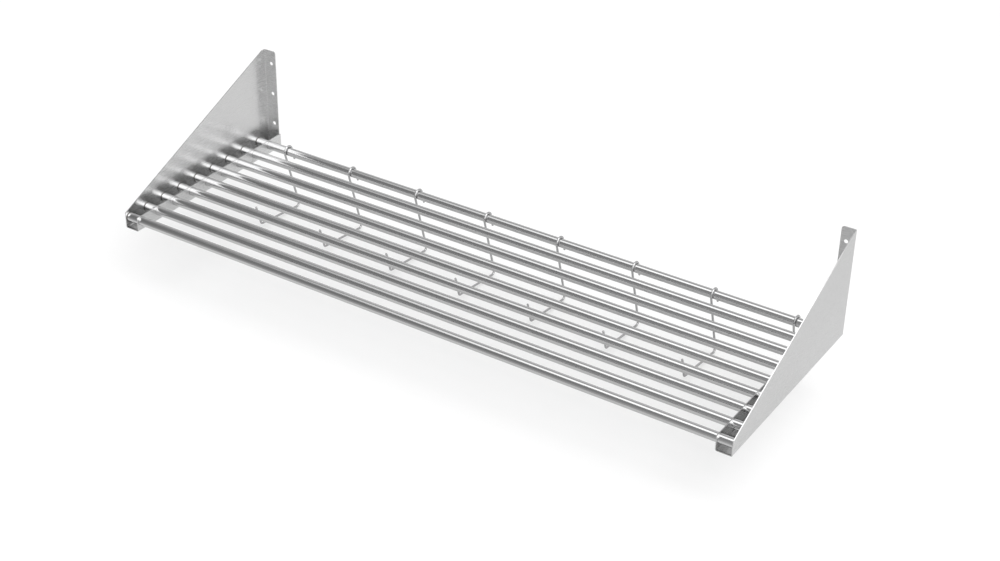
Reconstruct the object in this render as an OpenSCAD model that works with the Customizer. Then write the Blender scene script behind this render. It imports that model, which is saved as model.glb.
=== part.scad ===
// Stainless steel wall shelf: nine tubes between two folded end brackets, with eight wire hooks on the
// tube nearest the wall. The wall is the plane Y = 0 and the shelf stands out along -Y. The origin is
// the centre of the wall screws: midway between the brackets, at the height of the middle holes.

/* [Shelf] */
// Length along the wall, over both brackets
shelf_length = 1200; // [800:10:2000]
// Depth from the wall to the front edges of the brackets
shelf_depth = 400; // [380:5:500]

/* [Brackets] */
// Thickness of the folded sheet
sheet = 1.5; // [1:0.1:2]
// Inside radius of every fold
fold_radius = 1.5; // [1:0.1:3]
// Height of the side panel and its wall flange above the underside
bracket_height = 198; // [190:1:260]
// Height of the panel's front edge, where the slanted edge starts
front_height = 29; // [24:0.5:40]
// Flat stretch at the top of the panel, between the wall and the slanted edge
top_flat = 9; // [8:0.5:20]
// Radius between the flat stretch and the slanted edge
top_corner_radius = 10; // [4:1:14]
// Width of the wall flange over the fold
flange_width = 26; // [21:0.5:27]
// Radius of the flange's free top corner
flange_corner_radius = 5; // [2:0.5:8]
// Width of the bottom channel over the fold and the upstand
channel_width = 29; // [28:0.5:50]
// Height of the channel's inner upstand
upstand_height = 28; // [27:0.5:40]
// Height of the slit that parts the wall flange from the channel
corner_slit = 2; // [1:0.5:4]

/* [Wall holes] */
// Diameter of the screw holes in the wall flanges
wall_hole_d = 7; // [4:0.5:8]
// Distance of the screw holes from the panel's outer face
wall_hole_inset = 16; // [14:0.5:18]
// Height of the lowest hole above the underside
lowest_hole_height = 48; // [35:1:60]
// Distance from the top of the bracket down to the highest hole
top_hole_inset = 26; // [20:1:60]

/* [Tubes] */
// Outside diameter of the tubes
tube_d = 16; // [12:0.5:16]
// Wall thickness of the tubes
tube_wall = 1.2; // [1:0.1:2]
// Height of the tube axes above the underside
tube_axis_height = 18; // [12:0.5:19]
// Distance of the back tube's axis from the wall
back_tube_setback = 34; // [30:1:44]
// Distance of the front tube's axis from the brackets' front edges
front_tube_setback = 10; // [10:0.5:20]
// Radial clearance of the tubes in the upstands
tube_hole_clearance = 0.2; // [0.1:0.05:0.5]
// Chamfer on the outside of the tube ends
tube_end_chamfer = 0.8; // [0.4:0.1:0.9]

/* [Hooks] */
// Diameter of the hook wire
wire_d = 4; // [3:0.5:5]
// Clearance between the wire and the back tube
hook_clearance = 0.3; // [0.2:0.05:1]
// Lean of the hook from the vertical, back towards the wall, in degrees
hook_lean_angle = 16; // [0:0.5:17]
// Length of the straight tail behind the tube
tail_length = 25.5; // [8:0.5:30]
// Length of the straight stem
stem_length = 121; // [40:1:122]
// Centreline radius of the bend between stem and run
heel_radius = 6; // [5:0.5:14]
// Rise of the run towards the front, in degrees
run_rise_angle = 6; // [0:0.5:15]
// Length of the straight run
run_length = 103.5; // [40:0.5:110]
// Centreline radius of the bend between run and tip
toe_radius = 5; // [4:0.5:10]
// Lean of the tip from the vertical, towards the front, in degrees
tip_lean_angle = 17; // [0:1:30]
// Length of the straight tip
tip_length = 38.5; // [20:0.5:50]
// Distance of the outermost hooks from the ends of the shelf, before the row is shifted
hook_end_margin = 72; // [65:1:120]
// Sideways shift of the row of hooks, towards the right bracket
hook_row_shift = 2.4; // [0:0.1:5]

/* [Hidden] */

// Smoothness of the round surfaces
$fn = 64;
// How far a cut runs past the sheet that it goes through
overrun = 1;

// How much thicker the wire is in its bends, and how far its straight stretches reach into them
bend_swell = 0.02;
bend_lap = 0.05;

wall_hole_count = 3;
tube_count = 9;
hook_count = 8;

wall_hole_pitch = (bracket_height - top_hole_inset - lowest_hole_height) / (wall_hole_count - 1);

// Distance from the underside of the brackets up to the origin
origin_height = lowest_hole_height + wall_hole_pitch;
fold_outer_radius = fold_radius + sheet;

tube_r = tube_d / 2;
tube_pitch = (shelf_depth - back_tube_setback - front_tube_setback) / (tube_count - 1);
tube_length = shelf_length - 2 * sheet;

wire_r = wire_d / 2;
// Centreline radius of the loop that goes over the tube
loop_radius = tube_r + hook_clearance + wire_r;
hook_pitch = (shelf_length - 2 * hook_end_margin) / (hook_count - 1);

// Angle of the slanted edge above the horizontal, and the rounded corner at its top end
slant_angle = atan2(bracket_height - front_height, shelf_depth - top_flat);
top_corner_setback = top_corner_radius * tan(slant_angle / 2);

// The hook's wire as a bender makes it, from the tail: each row is a straight length, then a bend's
// radius and its angle, positive to the left
hook_path = [
  [tail_length, loop_radius, -180],
  [stem_length, heel_radius, 90 + hook_lean_angle + run_rise_angle],
  [run_length, toe_radius, 90 - run_rise_angle - tip_lean_angle],
  [tip_length, 0, 0]
];

// Place along the shelf of a hook, counted from the left
function hook_x(index) =
  -shelf_length / 2 + hook_end_margin + hook_pitch * (index - 1) + hook_row_shift;

// Distance of a tube's axis from the wall, counted from the back
function tube_setback(index) = back_tube_setback + tube_pitch * (index - 1);

// Cross-section of the panel and the bottom channel, from the panel's outer face inward
module channel_section() {
  inner_width = channel_width - 2 * sheet;
  difference() {
    rounded_base(channel_width, bracket_height, fold_outer_radius);
    translate([sheet, sheet])
      rounded_base(inner_width, bracket_height, fold_radius);
    translate([sheet + inner_width - overrun, upstand_height])
      square([sheet + 2 * overrun, bracket_height]);
  }
}

// Rectangle on its base line, with both bottom corners rounded
module rounded_base(width, height, radius) {
  translate([0, radius])
    square([width, height - radius]);
  translate([radius, 0])
    square([width - 2 * radius, radius]);
  translate([radius, radius])
    circle(radius);
  translate([width - radius, radius])
    circle(radius);
}

// Plan of the wall flange and the fold to the panel, from the panel's outer face inward
module flange_section() {
  translate([fold_outer_radius, -sheet])
    square([flange_width - fold_outer_radius, sheet]);
  translate([fold_outer_radius, -fold_outer_radius])
    intersection() {
      difference() {
        circle(fold_outer_radius);
        circle(fold_radius);
      }
      translate([-fold_outer_radius, 0])
        square(fold_outer_radius);
    }
}

// Outline of the side panel, with the wall on the right: the slanted edge and its rounded top corner
module side_outline() {
  corner = [-top_flat, bracket_height];
  polygon([
    [-shelf_depth, 0],
    [0, 0],
    [0, bracket_height],
    corner + [top_corner_setback, 0],
    corner - top_corner_setback * [cos(slant_angle), sin(slant_angle)],
    [-shelf_depth, front_height]
  ]);
  translate(corner + [top_corner_setback, -top_corner_radius])
    circle(top_corner_radius);
}

// Sheet metal that stays square at the back: the cut leaves the fold of the wall flange standing
module back_corner_cut() {
  translate([-overrun, -fold_outer_radius, fold_outer_radius])
    cube([flange_width + overrun, fold_outer_radius + overrun, bracket_height]);
}

// Wall flange with its fold, its rounded top corner and its screw holes
module wall_flange() {
  foot = fold_outer_radius + corner_slit;
  corner = [flange_width - flange_corner_radius, 0, bracket_height - flange_corner_radius];
  difference() {
    translate([0, 0, foot])
      linear_extrude(bracket_height - foot)
        flange_section();
    translate(corner)
      rotate([90, 0, 0])
        translate([0, 0, -overrun])
          linear_extrude(sheet + 2 * overrun)
            difference() {
              square(flange_corner_radius + overrun);
              circle(flange_corner_radius);
            }
    for (level = [0 : wall_hole_count - 1])
      translate([wall_hole_inset, overrun, lowest_hole_height + level * wall_hole_pitch])
        rotate([90, 0, 0])
          cylinder(h = sheet + 2 * overrun, d = wall_hole_d);
  }
}

// One end bracket: panel, bottom channel and wall flange. The panel's outer face is the plane X = 0.
module bracket() {
  hole_r = tube_r + tube_hole_clearance;
  difference() {
    union() {
      difference() {
        rotate([90, 0, 0])
          linear_extrude(shelf_depth)
            channel_section();
        back_corner_cut();
      }
      wall_flange();
    }
    translate([-overrun, 0, 0])
      rotate([90, 0, 90])
        linear_extrude(overrun + fold_outer_radius)
          difference() {
            translate([-shelf_depth - overrun, -overrun])
              square([shelf_depth + 2 * overrun, bracket_height + 2 * overrun]);
            side_outline();
          }
    for (index = [1 : tube_count])
      translate([channel_width - sheet - overrun, -tube_setback(index), tube_axis_height])
        rotate([0, 90, 0])
          cylinder(h = sheet + 2 * overrun, r = hole_r);
  }
}

module left_bracket() {
  color("silver")
    translate([-shelf_length / 2, 0, -origin_height])
      bracket();
}

module right_bracket() {
  color("silver")
    translate([shelf_length / 2, 0, -origin_height])
      mirror([1, 0, 0])
        bracket();
}

// One tube between the panels, with its ends chamfered on the outside
module tube(index) {
  body_length = tube_length - 2 * tube_end_chamfer;
  chamfered_r = tube_r - tube_end_chamfer;
  color("gainsboro")
    translate([-tube_length / 2, -tube_setback(index), tube_axis_height - origin_height])
      rotate([0, 90, 0])
        difference() {
          union() {
            cylinder(h = tube_end_chamfer, r1 = chamfered_r, r2 = tube_r);
            translate([0, 0, tube_end_chamfer])
              cylinder(h = body_length, r = tube_r);
            translate([0, 0, tube_end_chamfer + body_length])
              cylinder(h = tube_end_chamfer, r1 = tube_r, r2 = chamfered_r);
          }
          translate([0, 0, -overrun])
            cylinder(h = tube_length + 2 * overrun, r = tube_r - tube_wall);
        }
}

// Bend of the wire to the left, from the origin along X
module wire_bend(radius, angle) {
  translate([0, radius, 0])
    rotate([0, 0, -90])
      rotate_extrude(angle = angle)
        translate([radius, 0])
          circle(wire_r + bend_swell);
}

// Round end of the wire, facing along X
module wire_end() {
  rotate([0, 90, 0])
    rotate_extrude()
      intersection() {
        circle(wire_r);
        square(wire_r);
      }
}

// The wire from one step of its path to the tip, starting at the origin along X
module wire_from(step) {
  length = hook_path[step][0];
  radius = hook_path[step][1];
  angle = hook_path[step][2];
  side = sign(angle) * radius;
  last = len(hook_path) - 1;
  lap_before = step > 0 ? bend_lap : 0;
  lap_after = step < last ? bend_lap : 0;
  translate([-lap_before, 0, 0])
    rotate([0, 90, 0])
      cylinder(h = lap_before + length + lap_after, r = wire_r);
  translate([length, 0, 0])
    if (step == last) {
      wire_end();
    } else {
      if (side > 0)
        wire_bend(radius, angle);
      else
        mirror([0, 1, 0])
          wire_bend(radius, -angle);
      translate([0, side, 0])
        rotate([0, 0, angle])
          translate([0, -side, 0])
            wire_from(step + 1);
    }
}

// The whole hook in its own plane: X is forward, Y is up, and the tube's axis is the origin
module hook_form() {
  rotate([0, 0, 90 - hook_lean_angle])
    translate([-tail_length, loop_radius, 0]) {
      wire_from(0);
      mirror([1, 0, 0])
        wire_end();
    }
}

// One hook over the back tube
module hook(index) {
  color("darkgray")
    translate([hook_x(index), -back_tube_setback, tube_axis_height - origin_height])
      rotate([90, 0, -90])
        hook_form();
}

left_bracket();
right_bracket();
for (index = [1 : tube_count])
  tube(index);
for (index = [1 : hook_count])
  hook(index);
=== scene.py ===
"""Looks of a stainless steel wall shelf in a plain studio: two folded brackets, nine welded tubes, eight wire hooks."""

import logging
import math
from dataclasses import dataclass, field
from enum import Enum

import bpy
from mathutils import Matrix, Vector
from mathutils.geometry import delaunay_2d_cdt

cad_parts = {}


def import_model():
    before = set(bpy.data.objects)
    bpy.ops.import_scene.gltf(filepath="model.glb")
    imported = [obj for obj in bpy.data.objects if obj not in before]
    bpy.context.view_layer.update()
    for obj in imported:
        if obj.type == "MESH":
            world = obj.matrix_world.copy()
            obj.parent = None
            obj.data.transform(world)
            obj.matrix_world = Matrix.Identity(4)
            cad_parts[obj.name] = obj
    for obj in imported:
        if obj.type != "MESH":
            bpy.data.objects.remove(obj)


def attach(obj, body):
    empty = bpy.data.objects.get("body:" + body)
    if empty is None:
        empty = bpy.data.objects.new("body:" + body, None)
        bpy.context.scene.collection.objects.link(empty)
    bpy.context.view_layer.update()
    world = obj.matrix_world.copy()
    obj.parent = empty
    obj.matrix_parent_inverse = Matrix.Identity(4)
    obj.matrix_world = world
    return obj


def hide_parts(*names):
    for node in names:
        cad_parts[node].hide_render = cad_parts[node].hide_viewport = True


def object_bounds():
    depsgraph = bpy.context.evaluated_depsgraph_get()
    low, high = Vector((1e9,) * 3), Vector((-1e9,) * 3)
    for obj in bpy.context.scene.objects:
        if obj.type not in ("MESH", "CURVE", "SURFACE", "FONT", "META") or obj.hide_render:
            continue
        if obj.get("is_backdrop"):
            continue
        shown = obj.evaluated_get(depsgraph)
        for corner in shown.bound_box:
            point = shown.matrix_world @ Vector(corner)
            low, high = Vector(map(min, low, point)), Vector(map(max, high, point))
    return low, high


LOG = logging.getLogger("wall_shelf")
MM = 0.001
Socket = bpy.types.NodeSocket
Point2 = tuple[float, float]
Triple = tuple[float, float, float]
Span = tuple[float, float]

# What delaunay_2d_cdt gives back: the triangles inside the outline, without those in its holes.
INSIDE_WITHOUT_HOLES = 2

# Between these, most values of a noise lie.
MIDDLE: Span = (0.3, 0.7)

# The row of tubes in millimetres, which several classes share.
TUBE_COUNT = 9
TUBE_PITCH = 44.5
BACK_TUBE: Triple = (0.0, -34.0, -92.0)


class Side(Enum):
    """The two ends of the shelf, with the sign of X there."""

    LEFT = -1
    RIGHT = 1


class Ray(Enum):
    """The kinds of ray that the studio tells apart."""

    CAMERA = "Is Camera Ray"
    GLOSSY = "Is Glossy Ray"
    TRANSMISSION = "Is Transmission Ray"


@dataclass
class Graph:
    """A writer of node trees: it adds nodes, sets their inputs and joins them."""

    tree: bpy.types.NodeTree

    def add(self, kind: str, settings: dict[str, object] | None = None, **inputs: object) -> bpy.types.Node:
        """Adds a node.

        Args:
            kind: The node's type name.
            settings: Properties to set on the node itself.
            inputs: Values or sockets for its inputs, with _ for a space in the name, or in0, in1 for a numbered one.

        Returns:
            The new node.
        """
        node = self.tree.nodes.new(kind)
        for name, value in (settings or {}).items():
            setattr(node, name, value)
        for name, value in inputs.items():
            numbered = name.startswith("in") and name[2:].isdigit()
            socket = node.inputs[int(name[2:]) if numbered else name.replace("_", " ")]
            if isinstance(value, Socket):
                self.tree.links.new(value, socket)
            else:
                socket.default_value = value
        return node

    def out(self, kind: str, settings: dict[str, object] | None = None, **inputs: object) -> Socket:
        """Adds a node as add does, and gives its first output."""
        return self.add(kind, settings, **inputs).outputs[0]

    def math(self, operation: str, a: object, b: object = 0.0) -> Socket:
        """Adds a Math node and gives its result."""
        return self.out("ShaderNodeMath", {"operation": operation}, in0=a, in1=b)

    def times(self, a: object, b: object) -> Socket:
        """Adds a product."""
        return self.math("MULTIPLY", a, b)

    def step(self, value: Socket, start: float, end: float, low: object, high: object) -> Socket:
        """Adds a smooth step of a value: low up to the start, high from the end on."""
        share = self.out("ShaderNodeMapRange", {"interpolation_type": "SMOOTHSTEP"}, in0=value, in1=start, in2=end)
        return self.out("ShaderNodeMix", in0=share, in2=low, in3=high)

    def vary(self, pattern: Socket, low: float, high: float) -> Socket:
        """Adds a step from low to high over the middle values of a noise."""
        return self.step(pattern, *MIDDLE, low, high)

    def noise(self, place: Socket, scale: Triple, detail: float = 2.0) -> Socket:
        """Adds noise over a place, with so many waves for each unit along each axis."""
        where = self.out("ShaderNodeMapping", Vector=place, Scale=scale)
        return self.out("ShaderNodeTexNoise", Vector=where, Scale=1.0, Detail=detail)

    def attribute(self, name: str) -> Socket:
        """Adds a reader of one of the piece's own attributes."""
        return self.add("ShaderNodeAttribute", {"attribute_name": name}).outputs["Fac"]

    def object_place(self) -> Socket:
        """Adds a reader of the Object coordinates."""
        return self.add("ShaderNodeTexCoord").outputs["Object"]

    def store(self, curve: Socket, name: str, value: Socket) -> Socket:
        """Adds a node that stores a number at each point of a curve, as a named attribute."""
        settings = {"data_type": "FLOAT", "domain": "POINT"}
        return self.out("GeometryNodeStoreNamedAttribute", settings, Geometry=curve, Name=name, Value=value)

    def circle(self, sides: Socket, radius: Socket) -> Socket:
        """Adds a circle of so many sides."""
        return self.out("GeometryNodeCurvePrimitiveCircle", Resolution=sides, Radius=radius)


def put(name: str, data: bpy.types.ID) -> bpy.types.Object:
    """Puts an object into the scene.

    Args:
        name: Its name.
        data: Its mesh, lamp or camera.

    Returns:
        The object.
    """
    made = bpy.data.objects.new(name, data)
    bpy.context.scene.collection.objects.link(made)
    return made


class Recipe:
    """A Geometry Nodes tree with named sizes. It runs once on an object, whose result becomes a plain mesh."""

    def __init__(self, name: str) -> None:
        """Starts an empty tree.

        Args:
            name: Name of the tree.
        """
        self.tree = bpy.data.node_groups.new(name, "GeometryNodeTree")
        for way in ("INPUT", "OUTPUT"):
            self.tree.interface.new_socket("Geometry", in_out=way, socket_type="NodeSocketGeometry")
        self.sizes("Material", "Steel")
        self.graph = Graph(self.tree)

    def sizes(self, kind: str, *names: str) -> None:
        """Adds named inputs of a kind such as Float, Int or Vector."""
        for name in names:
            self.tree.interface.new_socket(name, in_out="INPUT", socket_type=f"NodeSocket{kind}")

    def start(self) -> dict[str, Socket]:
        """Adds an input node and gives its sockets by name."""
        return {socket.name: socket for socket in self.graph.add("NodeGroupInput").outputs if socket.name}

    def end(self, geometry: Socket) -> None:
        """Ends the tree in real geometry with its steel.

        Args:
            geometry: The shape.
        """
        real = self.graph.out("GeometryNodeRealizeInstances", Geometry=geometry)
        dressed = self.graph.out("GeometryNodeSetMaterial", Geometry=real, Material=self.start()["Steel"])
        self.graph.add("NodeGroupOutput", Geometry=dressed)

    def run(self, name: str, base: bpy.types.Mesh, values: dict[str, object]) -> bpy.types.Object:
        """Runs the tree.

        Args:
            name: Name of the finished piece.
            base: The mesh that the tree starts from.
            values: Value of each named input.

        Returns:
            The finished piece, a plain mesh at the origin.
        """
        host = put(name + "_host", base)
        modifier = host.modifiers.new(self.tree.name, "NODES")
        modifier.node_group = self.tree
        for item in self.tree.interface.items_tree:
            if item.in_out == "INPUT" and item.name in values:
                modifier[item.identifier] = values[item.name]
        mesh = bpy.data.meshes.new_from_object(host.evaluated_get(bpy.context.evaluated_depsgraph_get()))
        host.modifiers.remove(modifier)
        bpy.data.objects.remove(host)
        mesh.name = name
        return put(name, mesh)


@dataclass(frozen=True)
class SheetFinish:
    """Brushed stainless sheet. Its grain follows the blank, so it runs on round every fold.

    The channel's bottom is glossier than the panel's and the flange's, and darker as painted shade; its cut edge is
    darker than theirs.
    The starts and ends are levels on the chart, from the upstand's rim up to the panel's top.
    """

    name: str = "brushed_sheet"
    colour: Triple = (0.715, 0.715, 0.715)
    tones: Span = (0.985, 1.015)
    roughness: float = 0.28
    roughness_spread: float = 0.085
    cloud_roughness: Span = (-0.015, 0.02)
    cut_roughness: float = 0.15
    grain_scale: Triple = (24.0, 2600.0, 1.0)
    grain_tone_range: Span = (0.25, 0.75)
    grain_gloss_range: Span = (0.4, 0.6)
    grain_depth: float = 0.000003
    grain_stretch: float = 0.35
    grain_turn: float = 0.25
    hair_scale: Triple = (5.0, 650.0, 1.0)
    hair_range: Span = (0.68, 0.74)
    hair_depth: float = 0.5
    cloud_scale: Triple = (3.0, 5.0, 1.0)
    channel_start: Span = (0.066, 0.074)
    channel_end: Span = (0.117, 0.124)
    # Painted shade: the factor that darkens the channel's bottom, standing in for the shade inside the channel.
    channel_painted_shade: float = 0.68
    channel_gloss: float = 0.1
    panel_start: Span = (0.124, 0.128)
    cut_tones: Span = (0.8, 0.95)

    def material(self) -> bpy.types.Material:
        """Builds the material.

        Returns:
            The material.
        """
        material, graph = new_material(self.name)
        blank = graph.out("ShaderNodeUVMap", {"uv_map": "blank"})
        level = graph.add("ShaderNodeSeparateXYZ", Vector=blank).outputs["Y"]
        grain = graph.noise(blank, self.grain_scale)
        hairs = graph.step(graph.noise(blank, self.hair_scale, 1.0), *self.hair_range, 0.0, 1.0)
        clouds = graph.noise(blank, self.cloud_scale)
        cut = graph.attribute("cut_edge")
        channel = graph.step(level, *self.channel_end, graph.step(level, *self.channel_start, 0.0, 1.0), 0.0)
        # Painted shade: the channel's bottom is darkened, standing in for the shade inside the channel.
        face_painted_shade = graph.step(channel, 0.0, 1.0, 1.0, self.channel_painted_shade)
        cut_tone = graph.step(level, *self.panel_start, *self.cut_tones)
        tone = graph.times(graph.step(grain, *self.grain_tone_range, *self.tones), graph.vary(clouds, *self.tones))
        tone = graph.times(tone, graph.step(cut, 0.0, 1.0, face_painted_shade, cut_tone))
        face_rough = graph.step(channel, 0.0, 1.0, self.roughness, self.roughness - self.channel_gloss)
        spread = graph.step(grain, *self.grain_gloss_range, -self.roughness_spread, self.roughness_spread)
        rough = graph.math("ADD", spread, graph.vary(clouds, *self.cloud_roughness))
        rough = graph.math("ADD", rough, graph.step(cut, 0.0, 1.0, face_rough, self.cut_roughness))
        height = graph.math("SUBTRACT", grain, graph.times(hairs, self.hair_depth))
        metal = steel(graph, self.colour, tone, rough, height, self.grain_depth)
        metal.inputs["Anisotropic"].default_value = self.grain_stretch
        metal.inputs["Anisotropic Rotation"].default_value = self.grain_turn
        grain_way = graph.out("ShaderNodeTangent", {"direction_type": "UV_MAP", "uv_map": "blank"})
        graph.tree.links.new(grain_way, metal.inputs["Tangent"])
        return material


@dataclass(frozen=True)
class TubeFinish:
    """Ground and polished stainless tube, with faint draw lines along it and faint polishing rings."""

    name: str = "satin_tube"
    colour: Triple = (0.57, 0.57, 0.573)
    roughness: float = 0.155
    line_scale: Triple = (4.0, 1600.0, 1600.0)
    line_tones: Span = (0.98, 1.02)
    line_roughness: Span = (-0.02, 0.02)
    line_depth: float = 0.000002
    ring_scale: Triple = (500.0, 9.0, 9.0)
    ring_roughness: Span = (-0.015, 0.015)
    ring_height: float = 0.5
    cloud_scale: Triple = (6.0, 30.0, 30.0)
    cloud_tones: Span = (0.985, 1.015)

    def material(self) -> bpy.types.Material:
        """Builds the material.

        Returns:
            The material.
        """
        material, graph = new_material(self.name)
        place = graph.object_place()
        lines, rings = graph.noise(place, self.line_scale), graph.noise(place, self.ring_scale)
        clouds = graph.noise(place, self.cloud_scale)
        tone = graph.times(graph.vary(lines, *self.line_tones), graph.vary(clouds, *self.cloud_tones))
        rough = graph.math("ADD", graph.vary(lines, *self.line_roughness), graph.vary(rings, *self.ring_roughness))
        rough = graph.math("ADD", rough, self.roughness)
        height = graph.math("ADD", lines, graph.times(rings, self.ring_height))
        steel(graph, self.colour, tone, rough, height, self.line_depth)
        return material


@dataclass(frozen=True)
class WeldFinish:
    """Fused steel of a seam, very dark, in patches of lighter and darker tone, and rippled round the tube."""

    name: str = "weld_seam"
    colour: Triple = (0.12, 0.113, 0.106)
    tones: Span = (0.8, 1.25)
    roughness: float = 0.42
    roughness_spread: float = 0.06
    blotch_scale: Triple = (90.0, 60.0, 60.0)
    ripples: float = 34.0
    ripple_scale: Triple = (9.0, 9.0, 1.0)
    ripple_depth: float = 0.00004

    def material(self) -> bpy.types.Material:
        """Builds the material.

        Returns:
            The material.
        """
        material, graph = new_material(self.name)
        around = graph.times(graph.attribute("around"), math.tau)
        x, y = graph.math("COSINE", around), graph.math("SINE", around)
        place = graph.out("ShaderNodeCombineXYZ", X=x, Y=y)
        waves = graph.math("SINE", graph.times(around, self.ripples))
        waves = graph.math("ADD", waves, graph.noise(place, self.ripple_scale))
        # Random patches of lighter and darker tone and of roughness over the seam.
        blotches = graph.noise(graph.object_place(), self.blotch_scale)
        tone = graph.vary(blotches, *self.tones)
        rough = graph.vary(blotches, self.roughness + self.roughness_spread, self.roughness - self.roughness_spread)
        steel(graph, self.colour, tone, rough, waves, self.ripple_depth)
        return material


@dataclass(frozen=True)
class WireFinish:
    """Drawn stainless wire. Its die lines follow the wire round every bend."""

    name: str = "drawn_wire"
    colour: Triple = (0.53, 0.53, 0.533)
    tones: Span = (0.97, 1.02)
    roughness: float = 0.17
    line_scale: Triple = (6.0, 6.0, 12.0)
    line_roughness: Span = (-0.03, 0.03)
    line_depth: float = 0.000006
    cloud_scale: Triple = (0.8, 0.8, 40.0)
    cloud_roughness: Span = (-0.02, 0.03)

    def material(self) -> bpy.types.Material:
        """Builds the material.

        Returns:
            The material.
        """
        material, graph = new_material(self.name)
        around = graph.times(graph.attribute("around"), math.tau)
        x, y, along = graph.math("COSINE", around), graph.math("SINE", around), graph.attribute("along")
        place = graph.out("ShaderNodeCombineXYZ", X=x, Y=y, Z=along)
        lines, clouds = graph.noise(place, self.line_scale), graph.noise(place, self.cloud_scale)
        tone = graph.times(graph.vary(lines, *self.tones), graph.vary(clouds, *self.tones))
        rough = graph.math("ADD", graph.vary(lines, *self.line_roughness), graph.vary(clouds, *self.cloud_roughness))
        rough = graph.math("ADD", rough, self.roughness)
        steel(graph, self.colour, tone, rough, lines, self.line_depth)
        return material


def new_material(name: str) -> tuple[bpy.types.Material, Graph]:
    """Makes an empty material.

    Args:
        name: Its name.

    Returns:
        The material and the graph of its tree.
    """
    material = bpy.data.materials.new(name)
    material.use_nodes = True
    material.node_tree.nodes.clear()
    return material, Graph(material.node_tree)


def steel(graph: Graph, colour: Triple, tone: Socket, rough: Socket, height: Socket, depth: float) -> bpy.types.Node:
    """Ends a steel material.

    Args:
        graph: The material's graph.
        colour: Colour of the clean steel.
        tone: How much lighter or darker it is at a place.
        rough: Its roughness there.
        height: The height of its surface there, from 0 to 1.
        depth: What that height means, in metres.

    Returns:
        The metal's shader.
    """
    blend = {"data_type": "RGBA", "blend_type": "MULTIPLY"}
    tint = graph.add("ShaderNodeMix", blend, in0=1.0, in6=(*colour, 1.0), in7=tone).outputs[2]
    bump = graph.out("ShaderNodeBump", Height=height, Strength=1.0, Distance=depth)
    metal = graph.add("ShaderNodeBsdfPrincipled", Base_Color=tint, Metallic=1.0, Roughness=rough, Normal=bump)
    graph.add("ShaderNodeOutputMaterial", Surface=metal.outputs[0])
    return metal


@dataclass
class Edge:
    """A loop of the blank's cut edge: where the flat face ends, and the cut edge itself, point by point."""

    inner: list[Point2]
    outer: list[Point2]

    def cut(self, axis: int, value: float, above: float) -> None:
        """Adds points where the loop crosses a line.

        Args:
            axis: 0 for a line of equal p, 1 for a line of equal q.
            value: The line's place.
            above: The crossings count where q is over this.
        """
        i = 0
        while i < len(self.inner):
            a, b = self.inner[i], self.inner[(i + 1) % len(self.inner)]
            if (a[axis] - value) * (b[axis] - value) < 0 and min(a[1], b[1]) > above:
                t = (value - a[axis]) / (b[axis] - a[axis])
                c, d = self.outer[i], self.outer[(i + 1) % len(self.inner)]
                inner = (a[0] + t * (b[0] - a[0]), a[1] + t * (b[1] - a[1]))
                length = math.dist(a, b)
                out = ((b[1] - a[1]) / length, -(b[0] - a[0]) / length)
                depth = (c[0] - a[0]) * out[0] + (c[1] - a[1]) * out[1]
                self.inner.insert(i + 1, inner)
                self.outer.insert(i + 1, (inner[0] + depth * out[0], inner[1] + depth * out[1]))
                i += 1
            i += 1


@dataclass
class Skin:
    """The points and faces of a folded sheet, as they are laid down."""

    places: list[Vector] = field(default_factory=list)
    normals: list[Vector] = field(default_factory=list)
    blank: list[Point2] = field(default_factory=list)
    cut: list[float] = field(default_factory=list)
    faces: list[tuple[int, ...]] = field(default_factory=list)

    def lay(self, place: Vector, normal: Vector, blank: Point2, cut: float) -> int:
        """Lays down a point.

        Args:
            place: The point, from the panel's outer face inward, in millimetres.
            normal: The surface's direction there.
            blank: Where it lies on the flat blank.
            cut: How far it lies on the cut edge, from 0 to 1.

        Returns:
            Its index.
        """
        self.places.append(place)
        self.normals.append(normal)
        self.blank.append(blank)
        self.cut.append(cut)
        return len(self.places) - 1


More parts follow.
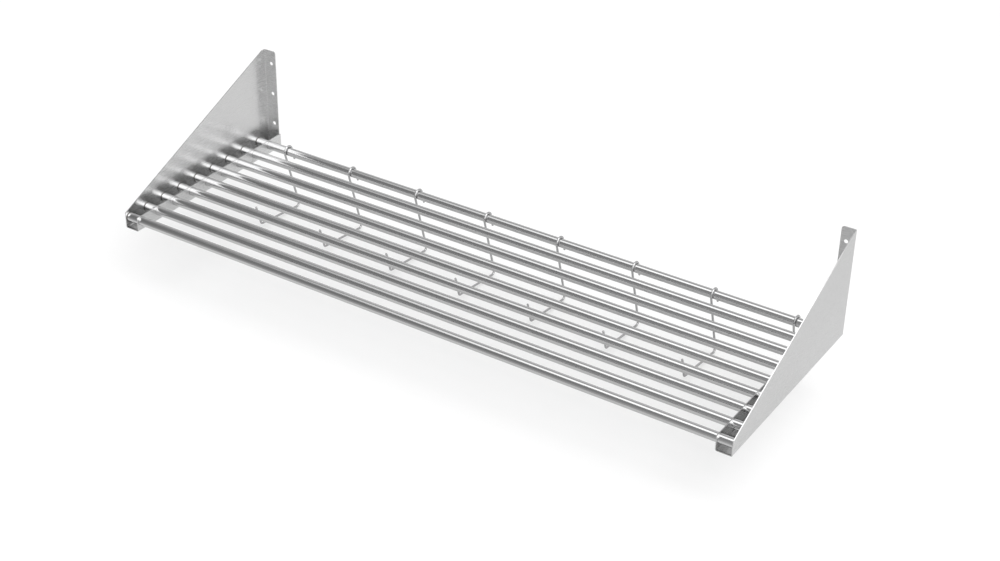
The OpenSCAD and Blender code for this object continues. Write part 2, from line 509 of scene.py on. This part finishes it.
@dataclass
class Bracket:
    """A folded end bracket: side panel, wall flange and bottom channel from one blank. Sizes in millimetres."""

    side: Side
    shelf_length: float = 1200.0
    depth: float = 400.0
    sheet: float = 1.5
    fold_radius: float = 1.5
    height: float = 198.0
    front_height: float = 29.0
    top_flat: float = 9.0
    top_corner_radius: float = 10.0
    flange_width: float = 26.0
    flange_corner_radius: float = 5.0
    channel_width: float = 29.0
    upstand_height: float = 28.0
    corner_slit: float = 2.0
    slit_reach: float = 0.6
    origin_height: float = 110.0
    wall_hole_radius: float = 3.5
    wall_hole_inset: float = 16.0
    wall_hole_levels: tuple[float, ...] = (48.0, 110.0, 172.0)
    wall_hole_sides: int = 48
    tube_hole_radius: float = 8.2
    tube_hole_sides: int = 72
    tube_level: float = 18.0
    tube_setbacks: tuple[float, ...] = tuple(TUBE_PITCH * i - BACK_TUBE[1] for i in range(TUBE_COUNT))
    corner_ease: float = 0.6
    corner_step: float = 6.0
    corner_steps: int = 3
    edge_ease: float = 0.06
    ease_steps: int = 3
    fold_steps: int = 8
    chart_margins: Point2 = (30.0, 60.0)
    chart_scale: float = 2.0
    line_tolerance: float = 1e-6
    merge_reach: float = 1e-7

    def __post_init__(self) -> None:
        """Works out where the folds lie on the blank."""
        self.bend = self.fold_radius + self.sheet
        self.span = (self.fold_radius + self.sheet / 2) * math.pi / 2
        self.flange_start = self.bend - self.span
        self.bottom_start = self.bend - self.span
        self.bottom_end = self.bottom_start - (self.channel_width - 2 * self.bend)
        self.upstand_start = self.bottom_end - self.span

    def build(self) -> bpy.types.Object:
        """Makes the bracket's mesh.

        Returns:
            The bracket, in the shelf's own frame.
        """
        name = f"{self.side.name.lower()}_bracket_folded"
        edge = self.ease(self.outline())
        lines = self.fold_lines(edge)
        edges = [edge, *self.holes()]
        flat: list[Point2] = [p for loop in edges for p in loop.inner]
        joins, owner, first = [], [], 0
        for number, loop in enumerate(edges):
            count = len(loop.inner)
            joins += [(first + i, first + (i + 1) % count) for i in range(count)]
            owner += [number] * count
            first += count
        points, _, triangles, *_ = delaunay_2d_cdt(
            [Vector(p) for p in flat], joins + lines, [], INSIDE_WITHOUT_HOLES, self.merge_reach,
        )
        if len(points) != len(flat):
            raise ValueError(f"{name}: the blank's lines cross")
        skin, half = Skin(), self.sheet / 2
        tops, bottoms = ([skin.lay(*self.face_point(p, height), p, 0.0) for p in flat] for height in (half, -half))
        for a, b, c in triangles:
            if owner[a] == owner[b] == owner[c] > 0:
                continue
            skin.faces += [(tops[a], tops[b], tops[c]), (bottoms[c], bottoms[b], bottoms[a])]
        first = 0
        for loop in edges:
            count = len(loop.inner)
            self.close(skin, loop, tops[first:first + count], bottoms[first:first + count])
            first += count
        return self.mesh(name, skin)

    def face_point(
        self, point: Point2, height: float, tilt: float = 0.0, beyond: Point2 = (0.0, 0.0),
    ) -> tuple[Vector, Vector]:
        """Finds a point of the surface.

        Args:
            point: Where it lies on the flat blank.
            height: Its height over the middle of the sheet, towards the outside of the folds.
            tilt: How far the surface turns there from the flat face to the cut edge, in radians.
            beyond: A point outside the blank, which the cut edge faces.

        Returns:
            The point and the surface's direction there.
        """
        place, up = self.fold(point, height)
        if not tilt:
            return place, up if height > 0 else -up
        out = (self.fold(beyond, height)[0] - place).normalized()
        return place, (up * math.copysign(math.cos(tilt), height) + out * math.sin(tilt)).normalized()

    def close(self, skin: Skin, loop: Edge, tops: list[int], bottoms: list[int]) -> None:
        """Closes the sheet along a loop, from one flat face round the eased cut edge to the other.

        Args:
            skin: The sheet's points and faces.
            loop: The loop.
            tops: Indices of the loop's points on the one face.
            bottoms: Indices of its points on the other.
        """
        rings = []
        for inner, outer, top, bottom in zip(loop.inner, loop.outer, tops, bottoms):
            beyond = (2 * outer[0] - inner[0], 2 * outer[1] - inner[1])
            upper, lower = [top], [bottom]
            for k in range(1, self.ease_steps + 1):
                tilt = k / self.ease_steps * math.pi / 2
                share, level = math.sin(tilt), self.sheet / 2 - self.edge_ease * (1 - math.cos(tilt))
                p = (inner[0] + share * (outer[0] - inner[0]), inner[1] + share * (outer[1] - inner[1]))
                upper.append(skin.lay(*self.face_point(p, level, tilt, beyond), p, share))
                lower.append(skin.lay(*self.face_point(p, -level, tilt, beyond), p, share))
            rings.append(upper + lower[::-1])
        for i, ring in enumerate(rings):
            after = rings[(i + 1) % len(rings)]
            skin.faces += [(ring[k], ring[k + 1], after[k + 1], after[k]) for k in range(len(ring) - 1)]

    def mesh(self, name: str, skin: Skin) -> bpy.types.Object:
        """Turns the points and faces into an object.

        Args:
            name: The piece's name.
            skin: Its points and faces.

        Returns:
            The object.
        """
        sign = self.side.value
        mesh = bpy.data.meshes.new(name)
        moved = [
            (sign * (self.shelf_length / 2 - p.x) * MM, p.y * MM, (p.z - self.origin_height) * MM) for p in skin.places
        ]
        faces = [face[::-1] for face in skin.faces] if self.side is Side.RIGHT else skin.faces
        mesh.from_pydata(moved, [], faces)
        chart = mesh.uv_layers.new(name="blank")
        for loop in mesh.loops:
            p, q = skin.blank[loop.vertex_index]
            chart.data[loop.index].uv = [
                (x + margin) * MM * self.chart_scale for x, margin in zip((p, q), self.chart_margins)
            ]
        mesh.attributes.new("cut_edge", "FLOAT", "POINT").data.foreach_set("value", skin.cut)
        mesh.polygons.foreach_set("use_smooth", [True] * len(faces))
        mesh.normals_split_custom_set_from_vertices([(-sign * n.x, n.y, n.z) for n in skin.normals])
        return put(name, mesh)

    def outline(self) -> list[Point2]:
        """Draws the blank's outline.

        Returns:
            Its points, counter-clockwise, with the corners rounded.
        """
        foot = self.bend + self.corner_slit
        free = self.flange_start - (self.flange_width - self.bend)
        rim = self.upstand_start - (self.upstand_height - self.bend)
        notch = self.bend + self.slit_reach
        ease = self.corner_ease
        corners = [
            (0.0, rim, ease), (self.depth, rim, ease), (self.depth, self.front_height, ease),
            (self.top_flat, self.height, self.top_corner_radius), (free, self.height, self.flange_corner_radius),
            (free, foot, ease), (notch, foot, 0.0), (notch, self.bend, 0.0), (0.0, self.bend, ease),
        ]
        points: list[Point2] = []
        for i, (x, y, radius) in enumerate(corners):
            before, after = Vector(corners[i - 1][:2]), Vector(corners[(i + 1) % len(corners)][:2])
            here = Vector((x, y))
            if not radius:
                points.append((x, y))
                continue
            way_in, way_out = (here - before).normalized(), (after - here).normalized()
            turn = math.atan2(way_in.x * way_out.y - way_in.y * way_out.x, way_in.dot(way_out))
            start = here - way_in * radius * math.tan(turn / 2)
            centre = start + Vector((-way_in.y, way_in.x)) * radius
            steps = self.corner_steps
            if radius > self.corner_ease:
                steps = max(steps, round(abs(turn) / math.radians(self.corner_step)))
            for k in range(steps + 1):
                arm = start - centre
                arm.rotate(Matrix.Rotation(turn * k / steps, 2))
                points.append(tuple(centre + arm))
        return points

    def ease(self, outer: list[Point2]) -> Edge:
        """Finds where the flat face ends inside an outline.

        Args:
            outer: The outline, with the sheet on its left.

        Returns:
            Both as an edge.
        """
        inner = []
        for i, here in enumerate(outer):
            before, after = outer[i - 1], outer[(i + 1) % len(outer)]
            ways = []
            for a, b in ((before, here), (here, after)):
                length = math.dist(a, b)
                ways.append(Vector((-(b[1] - a[1]) / length, (b[0] - a[0]) / length)))
            mitre = (ways[0] + ways[1]) / (1 + ways[0].dot(ways[1])) * self.edge_ease
            inner.append((here[0] + mitre.x, here[1] + mitre.y))
        return Edge(inner, list(outer))

    def fold_lines(self, edge: Edge) -> list[tuple[int, int]]:
        """Adds the fold lines' ends to the outline.

        Args:
            edge: The outline's edge, which gets the new points.

        Returns:
            The lines, as pairs of indices into the outline.
        """
        steps = [self.span * k / self.fold_steps for k in range(self.fold_steps + 1)]
        wanted = [(0, self.bend - s, self.bend) for s in steps]
        wanted += [(1, top - s, -math.inf) for top in (self.bend, self.bottom_end) for s in steps]
        for axis, value, above in wanted:
            edge.cut(axis, value, above)
        lines = []
        for axis, value, above in wanted:
            ends = [i for i, p in enumerate(edge.inner) if abs(p[axis] - value) < self.line_tolerance and p[1] > above]
            if len(ends) != 2:
                raise ValueError(f"a fold line at {value} has {len(ends)} ends")
            lines.append((ends[0], ends[1]))
        return lines

    def holes(self) -> list[Edge]:
        """Draws the screw holes in the wall flange and the tube holes in the upstand.

        Returns:
            The edge of each hole, clockwise.
        """
        across = self.flange_start - (self.wall_hole_inset - self.bend)
        level = self.upstand_start - (self.tube_level - self.bend)
        round_ones = [(across, z, self.wall_hole_radius, self.wall_hole_sides) for z in self.wall_hole_levels]
        round_ones += [(x, level, self.tube_hole_radius, self.tube_hole_sides) for x in self.tube_setbacks]
        made = []
        for x, y, radius, count in round_ones:
            spokes = [(math.cos(-math.tau * k / count), math.sin(-math.tau * k / count)) for k in range(count)]
            rings = [[(x + r * c, y + r * s) for c, s in spokes] for r in (radius + self.edge_ease, radius)]
            made.append(Edge(*rings))
        return made

    def fold(self, point: Point2, height: float) -> tuple[Vector, Vector]:
        """Folds a point of the blank into its place.

        Args:
            point: The point (p, q) on the flat blank: p from the wall forward, q up the panel.
            height: Its height over the middle of the sheet, towards the outside of the folds.

        Returns:
            The place, from the panel's outer face inward, and the direction away from the sheet.
        """
        p, q = point
        reach = self.fold_radius + self.sheet / 2 + height
        if q > self.bend and p < self.bend:
            if p >= self.flange_start:
                angle = (self.bend - p) / self.span * math.pi / 2
                way = Vector((-math.cos(angle), math.sin(angle), 0.0))
                return Vector((self.bend, -self.bend, q)) + way * reach, way
            return Vector((self.bend + self.flange_start - p, -self.sheet / 2 + height, q)), Vector((0.0, 1.0, 0.0))
        if q >= self.bend:
            return Vector((self.sheet / 2 - height, -p, q)), Vector((-1.0, 0.0, 0.0))
        if q >= self.bottom_start:
            angle = (self.bend - q) / self.span * math.pi / 2
            way = Vector((-math.cos(angle), 0.0, -math.sin(angle)))
            return Vector((self.bend, -p, self.bend)) + way * reach, way
        if q >= self.bottom_end:
            return Vector((self.bend + self.bottom_start - q, -p, self.sheet / 2 - height)), Vector((0.0, 0.0, -1.0))
        if q >= self.upstand_start:
            angle = (self.bottom_end - q) / self.span * math.pi / 2
            way = Vector((math.sin(angle), 0.0, -math.cos(angle)))
            return Vector((self.channel_width - self.bend, -p, self.bend)) + way * reach, way
        inward = self.channel_width - self.sheet / 2 + height
        return Vector((inward, -p, self.bend + self.upstand_start - q)), Vector((1.0, 0.0, 0.0))

    def dress(self, piece: bpy.types.Object, material: bpy.types.Material) -> None:
        """Gives the bracket its finish and its place in the frame.

        Args:
            piece: The bracket.
            material: Its finish.
        """
        piece.data.materials.append(material)
        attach(piece, "frame")
        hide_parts(f"{self.side.name.lower()}_bracket")


@dataclass
class TubeRow:
    """The nine tubes between the panels. Sizes in millimetres, the angle of a crease in degrees."""

    count: int = TUBE_COUNT
    length: float = 1197.0
    radius: float = 8.0
    wall: float = 1.2
    end_chamfer: float = 0.8
    bore_ease: float = 0.25
    sides: int = 96
    crease: float = 30.0
    back_tube: Triple = BACK_TUBE
    pitch: float = TUBE_PITCH

    def recipe(self) -> Recipe:
        """Writes the tree: one tube's wall turned about its axis, and a row of it.

        Returns:
            The tree.
        """
        recipe = Recipe("tube_row")
        recipe.sizes("Float", "Length", "Radius", "Wall", "End Chamfer", "Bore Ease", "Pitch")
        recipe.sizes("Int", "Count", "Sides")
        recipe.sizes("Vector", "Back Tube")
        sizes, graph = recipe.start(), recipe.graph
        middle = graph.math("SUBTRACT", sizes["Radius"], graph.times(sizes["Wall"], 0.5))
        circle = graph.circle(sizes["Sides"], middle)
        circle = graph.out("GeometryNodeSetCurveNormal", {"mode": "Z_UP"}, Curve=circle)
        section = graph.out("GeometryNodeCurvePrimitiveQuadrilateral", Width=sizes["Wall"], Height=sizes["Length"])
        place = graph.out("GeometryNodeInputPosition")
        across = graph.add("ShaderNodeSeparateXYZ", Vector=place).outputs["X"]
        outside = graph.out("FunctionNodeCompare", {"operation": "GREATER_THAN"}, in0=across, in1=0.0)
        cut_back = graph.out(
            "GeometryNodeSwitch", {"input_type": "FLOAT"},
            in0=outside, in1=sizes["Bore Ease"], in2=sizes["End Chamfer"],
        )
        section = graph.out("GeometryNodeFilletCurve", {"mode": "POLY"}, Curve=section, Count=1, Radius=cut_back)
        tube = graph.out("GeometryNodeCurveToMesh", Curve=circle, Profile_Curve=section)
        tube = graph.out("GeometryNodeTransform", Geometry=tube, Rotation=(0.0, math.pi / 2, 0.0))
        bent = graph.add("GeometryNodeInputMeshEdgeAngle").outputs["Unsigned Angle"]
        crisp = graph.out("FunctionNodeCompare", {"operation": "GREATER_THAN"}, in0=bent, in1=math.radians(self.crease))
        tube = graph.out("GeometryNodeSetShadeSmooth", {"domain": "FACE"}, Geometry=tube, Shade_Smooth=True)
        tube = graph.out(
            "GeometryNodeSetShadeSmooth", {"domain": "EDGE"}, Geometry=tube, Selection=crisp, Shade_Smooth=False,
        )
        offset = graph.out("ShaderNodeCombineXYZ", Y=graph.times(sizes["Pitch"], -1.0))
        row = graph.out("GeometryNodeMeshLine", Count=sizes["Count"], Start_Location=sizes["Back Tube"], Offset=offset)
        recipe.end(graph.out("GeometryNodeInstanceOnPoints", Points=row, Instance=tube))
        return recipe

    def build(self, material: bpy.types.Material) -> bpy.types.Object:
        """Makes the row and gives it its finish and its place.

        Args:
            material: Its finish.

        Returns:
            The row of tubes.
        """
        row = self.recipe().run("tube_row", bpy.data.meshes.new("tube_row_start"), {
            "Length": self.length * MM, "Radius": self.radius * MM, "Wall": self.wall * MM,
            "End Chamfer": self.end_chamfer * MM, "Bore Ease": self.bore_ease * MM, "Pitch": self.pitch * MM,
            "Count": self.count, "Sides": self.sides, "Back Tube": [x * MM for x in self.back_tube], "Steel": material,
        })
        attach(row, "frame")
        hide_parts(*[f"tube_{k}" for k in range(1, self.count + 1)])
        return row


@dataclass
class TubeWelds:
    """The fine seams that join the tubes' ends to the panels. Sizes in millimetres."""

    count: int = TUBE_COUNT
    back_tube: Triple = BACK_TUBE
    pitch: float = TUBE_PITCH
    reach: float = 598.1
    ring_radius: float = 7.65
    bead_radius: float = 0.9
    sides: int = 72
    bead_sides: int = 12

    def recipe(self) -> Recipe:
        """Writes the tree: a ring-shaped bead, a row of it and the same row at the other end.

        Returns:
            The tree.
        """
        recipe = Recipe("tube_welds")
        recipe.sizes("Float", "Ring Radius", "Bead Radius", "Reach", "Pitch")
        recipe.sizes("Int", "Count", "Sides", "Bead Sides")
        recipe.sizes("Vector", "Back Tube")
        sizes, graph = recipe.start(), recipe.graph
        turn = graph.add("GeometryNodeSplineParameter").outputs["Factor"]
        ring = graph.store(graph.circle(sizes["Sides"], sizes["Ring Radius"]), "around", turn)
        bead = graph.circle(sizes["Bead Sides"], sizes["Bead Radius"])
        seam = graph.out("GeometryNodeCurveToMesh", Curve=ring, Profile_Curve=bead)
        seam = graph.out("GeometryNodeTransform", Geometry=seam, Rotation=(0.0, math.pi / 2, 0.0))
        seam = graph.out("GeometryNodeSetShadeSmooth", Geometry=seam, Shade_Smooth=True)
        offset = graph.out("ShaderNodeCombineXYZ", Y=graph.times(sizes["Pitch"], -1.0))
        rows = graph.add("GeometryNodeJoinGeometry")
        for sign in (1.0, -1.0):
            end = graph.out("ShaderNodeCombineXYZ", X=graph.times(sizes["Reach"], sign))
            start = graph.out("ShaderNodeVectorMath", in0=sizes["Back Tube"], in1=end)
            row = graph.add("GeometryNodeMeshLine", Count=sizes["Count"], Start_Location=start, Offset=offset)
            graph.tree.links.new(row.outputs[0], rows.inputs[0])
        recipe.end(graph.out("GeometryNodeInstanceOnPoints", Points=rows.outputs[0], Instance=seam))
        return recipe

    def build(self, material: bpy.types.Material) -> bpy.types.Object:
        """Makes the seams and gives them their finish and their place.

        Args:
            material: Their finish.

        Returns:
            The seams, as one piece.
        """
        seams = self.recipe().run("tube_weld_seams", bpy.data.meshes.new("tube_welds_start"), {
            "Ring Radius": self.ring_radius * MM, "Bead Radius": self.bead_radius * MM, "Reach": self.reach * MM,
            "Pitch": self.pitch * MM, "Count": self.count, "Sides": self.sides, "Bead Sides": self.bead_sides,
            "Back Tube": [x * MM for x in self.back_tube], "Steel": material,
        })
        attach(seams, "frame")
        return seams


@dataclass
class HookRow:
    """The eight bent wire hooks on the back tube. Sizes in millimetres, angles in degrees."""

    count: int = 8
    first_place: float = -525.6
    pitch: float = 1056.0 / 7
    tube: Point2 = BACK_TUBE[1:]
    wire_radius: float = 2.0
    lean: float = 16.0
    loop_radius: float = 10.3
    bends: tuple[Triple, ...] = (
        (25.5, 10.3, -180.0), (121.0, 6.0, 112.0), (103.5, 5.0, 67.0), (38.5, 0.0, 0.0),
    )
    end_rings: int = 7
    bend_step: float = 5.0
    sides: int = 32
    merge_reach: float = 0.002

    def wire_path(self) -> list[Triple]:
        """Follows the wire from its tail to its tip.

        Returns:
            Points (forward, up, share of the wire's radius) about the tube's axis.
        """
        angle = math.radians(90 - self.lean)
        way = Vector((math.cos(angle), math.sin(angle)))
        here = Vector((-way.y, way.x)) * self.loop_radius - way * self.bends[0][0]
        rounding = [math.pi / 2 * k / self.end_rings for k in range(1, self.end_rings + 1)]
        path = [(*(here - way * self.wire_radius * math.sin(a)), max(math.cos(a), 0.0)) for a in reversed(rounding)]
        path.append((*here, 1.0))
        for length, radius, turn in self.bends:
            here = here + way * length
            path.append((*here, 1.0))
            if not turn:
                continue
            centre = here + Vector((-way.y, way.x)) * math.copysign(radius, turn)
            arm, steps = here - centre, math.ceil(abs(turn) / self.bend_step)
            for k in range(1, steps + 1):
                spoke = arm.copy()
                spoke.rotate(Matrix.Rotation(math.radians(turn) * k / steps, 2))
                path.append((*(centre + spoke), 1.0))
            here = centre + spoke
            way.rotate(Matrix.Rotation(math.radians(turn), 2))
        path += [(*(here + way * self.wire_radius * math.sin(a)), max(math.cos(a), 0.0)) for a in rounding]
        return path

    def start_mesh(self) -> bpy.types.Mesh:
        """Lays the wire's path in the plane X = 0.

        Returns:
            A line of points, each with its share of the wire's radius.
        """
        path = self.wire_path()
        mesh = bpy.data.meshes.new("wire_path")
        places = [(0.0, (self.tube[0] - x) * MM, (self.tube[1] + y) * MM) for x, y, _ in path]
        mesh.from_pydata(places, [(i, i + 1) for i in range(len(path) - 1)], [])
        mesh.attributes.new("swell", "FLOAT", "POINT").data.foreach_set("value", [s for _, _, s in path])
        return mesh

    def recipe(self) -> Recipe:
        """Writes the tree: a round wire drawn along the path, with its pattern's coordinates.

        Returns:
            The tree.
        """
        recipe = Recipe("wire_hook")
        recipe.sizes("Float", "Wire Radius", "Merge Reach")
        recipe.sizes("Int", "Sides")
        recipe.sizes("Vector", "Place Along Shelf")
        sizes, graph = recipe.start(), recipe.graph
        path = graph.out("GeometryNodeMeshToCurve", Mesh=sizes["Geometry"])
        spline = graph.add("GeometryNodeSplineParameter")
        path = graph.store(path, "along", spline.outputs["Length"])
        circle = graph.circle(sizes["Sides"], sizes["Wire Radius"])
        circle = graph.store(circle, "around", spline.outputs["Factor"])
        swell = graph.out("GeometryNodeInputNamedAttribute", {"data_type": "FLOAT"}, Name="swell")
        wire = graph.out("GeometryNodeCurveToMesh", Curve=path, Profile_Curve=circle, Scale=swell, Fill_Caps=False)
        wire = graph.out("GeometryNodeMergeByDistance", Geometry=wire, Distance=sizes["Merge Reach"])
        wire = graph.out("GeometryNodeTransform", Geometry=wire, Translation=sizes["Place Along Shelf"])
        recipe.end(graph.out("GeometryNodeSetShadeSmooth", Geometry=wire, Shade_Smooth=True))
        return recipe

    def build(self, material: bpy.types.Material) -> list[bpy.types.Object]:
        """Makes each hook on its own body.

        Args:
            material: Their finish.

        Returns:
            The hooks, from the left.
        """
        recipe, start, hooks = self.recipe(), self.start_mesh(), []
        for k in range(self.count):
            hook = recipe.run(f"wire_hook_{k + 1}", start, {
                "Wire Radius": self.wire_radius * MM, "Merge Reach": self.merge_reach * MM, "Sides": self.sides,
                "Place Along Shelf": [(self.first_place + k * self.pitch) * MM, 0.0, 0.0], "Steel": material,
            })
            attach(hook, f"hook_{k + 1}")
            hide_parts(f"hook_{k + 1}")
            hooks.append(hook)
        return hooks


@dataclass(frozen=True)
class Fade:
    """A smooth change of a level along an axis, from one place to another."""

    axis: str
    start: float
    end: float
    before: float
    after: float

    def over(self, graph: Graph, place: bpy.types.Node) -> Socket:
        """Adds the fade to a graph, over a place that is separated into its axes."""
        return graph.step(place.outputs[self.axis], self.start, self.end, self.before, self.after)


@dataclass(frozen=True)
class Softbox:
    """A large soft lamp. Sizes in metres, and the places of its fades as shares of its size."""

    name: str
    place: Triple
    aim: Triple
    size: Span
    radiance: float
    fades: tuple[Fade, ...] = ()

    def hang(self) -> None:
        """Hangs the lamp, and dims it over its fades."""
        data = bpy.data.lights.new(self.name, "AREA")
        data.shape = "RECTANGLE"
        data.size, data.size_y = self.size
        data.energy = self.radiance * math.pi * self.size[0] * self.size[1]
        if self.fades:
            data.use_nodes = True
            data.node_tree.nodes.clear()
            graph = Graph(data.node_tree)
            spot = graph.add("ShaderNodeSeparateXYZ", Vector=graph.add("ShaderNodeNewGeometry").outputs["Parametric"])
            level = self.fades[0].over(graph, spot)
            for fade in self.fades[1:]:
                level = graph.times(level, fade.over(graph, spot))
            graph.add("ShaderNodeOutputLight", Surface=graph.out("ShaderNodeEmission", Strength=level))
        lamp = put(self.name, data)
        way = Vector(self.aim) - Vector(self.place)
        lamp.location = self.place
        lamp.rotation_mode = "QUATERNION"
        lamp.rotation_quaternion = way.to_track_quat("-Z", "Y")


@dataclass
class Studio:
    """Pale floor, white backdrop, a large soft lamp overhead and the camera of the photograph. Sizes in metres.

    The walls are what the metal sees of the room, by direction. It also sees a little glow on the floor, and a
    dim floor ahead of the shelf.
    """

    floor_level: float
    floor_reach: float = 9.0
    floor_white: float = 0.57
    floor_glow: float = 0.38
    far_glow: float = 1.0
    far_reach: Span = (1.6, 5.0)
    metal_glow: Fade = Fade("X", -0.6, 0.4, 0.18, 0.09)
    near_glow: Fade = Fade("Y", -0.4, -0.2, 0.05, 0.0)
    ahead: Fade = Fade("Y", -0.8, -0.58, 1.0, 0.0)
    ahead_level: float = 0.5
    front_wall: Fade = Fade("Z", 0.0, 0.35, 0.45, 0.28)
    back_wall: Fade = Fade("Z", 0.4, 0.8, 0.85, 0.47)
    right_wall: Fade = Fade("Y", 0.35, 0.75, 1.3, 0.7)
    left_corner: Fade = Fade("X", -0.64, -0.52, 0.75, 1.0)
    front_to_back: Span = (-0.35, 0.35)
    left_to_right: Span = (-0.5, 0.55)
    corner_foot: Span = (0.55, 0.72)
    camera_place: Triple = (1.465819, -2.410420, 1.508299)
    camera_right: Triple = (0.83843318, 0.54475525, 0.01647795)
    camera_up: Triple = (-0.29590912, 0.42962766, 0.85314587)
    camera_look: Triple = (-0.45767631, 0.72018177, -0.52141213)
    lens: float = 65.608
    sensor: float = 36.0
    view_reach: float = 100.0
    overhead: Softbox = Softbox(
        "overhead_softbox", (1.0, -0.5, 6.0), (1.0, -0.5, 0.0), (11.6, 4.8), 1.62,
        (Fade("X", -0.03, 0.235, 0.0, 1.0), Fade("Y", 0.68, 0.98, 1.0, 0.0)),
    )
    front: Softbox = Softbox("front_softbox", (1.9, -3.0, 2.7), (0.0, -0.2, 0.0), (2.2, 2.2), 2.1)

    def build(self) -> None:
        """Builds the whole studio."""
        self.camera()
        self.floor()
        self.room()
        self.overhead.hang()
        self.front.hang()

    def camera(self) -> None:
        """Places the camera at the photograph's viewing angle."""
        data = bpy.data.cameras.new("photo_camera")
        data.lens = self.lens
        data.sensor_width = self.sensor
        data.clip_end = self.view_reach
        camera = put("photo_camera", data)
        turn = Matrix((self.camera_right, self.camera_up, [-x for x in self.camera_look])).transposed()
        camera.matrix_world = Matrix.Translation(self.camera_place) @ turn.to_4x4()
        bpy.context.scene.camera = camera

    @staticmethod
    def seen_by(graph: Graph, *rays: Ray) -> Socket:
        """Adds a test for kinds of ray.

        Args:
            graph: The graph to add it to.
            rays: The kinds of ray.

        Returns:
            A socket that is 1 for those rays and 0 for the rest.
        """
        path = graph.add("ShaderNodeLightPath")
        total = path.outputs[rays[0].value]
        for ray in rays[1:]:
            total = graph.math("MAXIMUM", total, path.outputs[ray.value])
        return total

    def floor(self) -> None:
        """Lays the pale floor. From under it, it is clear."""
        reach = self.floor_reach
        mesh = bpy.data.meshes.new("floor")
        ends = [(x * reach, y * reach, self.floor_level) for x, y in ((-1, -1), (1, -1), (1, 1), (-1, 1))]
        mesh.from_pydata(ends, [], [(0, 1, 2, 3)])
        floor = put("floor", mesh)
        material, graph = new_material("pale_floor")
        where = graph.object_place()
        place = graph.add("ShaderNodeSeparateXYZ", Vector=where)
        in_metal = self.seen_by(graph, Ray.GLOSSY)
        shine = graph.math("ADD", self.metal_glow.over(graph, place), self.near_glow.over(graph, place))
        shine = graph.times(in_metal, shine)
        away = graph.add("ShaderNodeVectorMath", {"operation": "LENGTH"}, in0=where).outputs["Value"]
        glow = graph.step(away, *self.far_reach, self.floor_glow, self.far_glow)
        seen = graph.times(self.seen_by(graph, Ray.CAMERA, Ray.TRANSMISSION), glow)
        matte = graph.out("ShaderNodeBsdfDiffuse", Color=(*[self.floor_white] * 3, 1.0))
        glow = graph.out("ShaderNodeEmission", Strength=graph.math("MAXIMUM", seen, shine))
        both = graph.out("ShaderNodeAddShader", in0=matte, in1=glow)
        ahead = graph.times(in_metal, self.ahead.over(graph, place))
        dim = graph.out("ShaderNodeEmission", Strength=self.ahead_level)
        both = graph.out("ShaderNodeMixShader", in0=ahead, in1=both, in2=dim)
        under = graph.add("ShaderNodeNewGeometry").outputs["Backfacing"]
        clear = graph.out("ShaderNodeBsdfTransparent")
        surface = graph.out("ShaderNodeMixShader", in0=under, in1=both, in2=clear)
        graph.add("ShaderNodeOutputMaterial", Surface=surface)
        mesh.materials.append(material)
        floor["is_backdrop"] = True

    def room(self) -> None:
        """Makes the room: a white backdrop for the camera, pale behind the shelf and dim in front of it."""
        world = bpy.data.worlds.new("studio_room")
        world.use_nodes = True
        world.node_tree.nodes.clear()
        graph = Graph(world.node_tree)
        way = graph.add("ShaderNodeSeparateXYZ", Vector=graph.add("ShaderNodeTexCoord").outputs["Generated"])
        front, behind = self.front_wall.over(graph, way), self.back_wall.over(graph, way)
        level = graph.step(way.outputs["Y"], *self.front_to_back, front, behind)
        level = graph.step(way.outputs["X"], *self.left_to_right, level, self.right_wall.over(graph, way))
        corner = graph.step(way.outputs["Z"], *self.corner_foot, 1.0, self.left_corner.over(graph, way))
        level = graph.times(level, corner)
        strength = graph.math("MAXIMUM", level, self.seen_by(graph, Ray.CAMERA, Ray.TRANSMISSION))
        back = graph.out("ShaderNodeBackground", Color=(1.0, 1.0, 1.0, 1.0), Strength=strength)
        graph.add("ShaderNodeOutputWorld", Surface=back)
        bpy.context.scene.world = world


def corners(box: tuple[Vector, Vector]) -> list[list[float]]:
    """The two corners of a box as plain lists."""
    return [list(corner) for corner in box]


def main() -> None:
    """Builds the shelf's looks and its studio, and reports each piece."""
    logging.basicConfig(level=logging.INFO, format="%(name)s: %(message)s")
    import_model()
    cad_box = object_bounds()
    bpy.context.scene.view_settings.view_transform = "Standard"
    pieces = []
    sheet = SheetFinish().material()
    for side in Side:
        bracket = Bracket(side)
        piece = bracket.build()
        bracket.dress(piece, sheet)
        pieces.append(piece)
    pieces.append(TubeRow().build(TubeFinish().material()))
    pieces.append(TubeWelds().build(WeldFinish().material()))
    pieces += HookRow().build(WireFinish().material())
    for piece in pieces:
        LOG.info("%s: %d faces", piece.name, len(piece.data.polygons))
    Studio(floor_level=cad_box[0].z - MM).build()


if __name__ == "__main__":
    main()
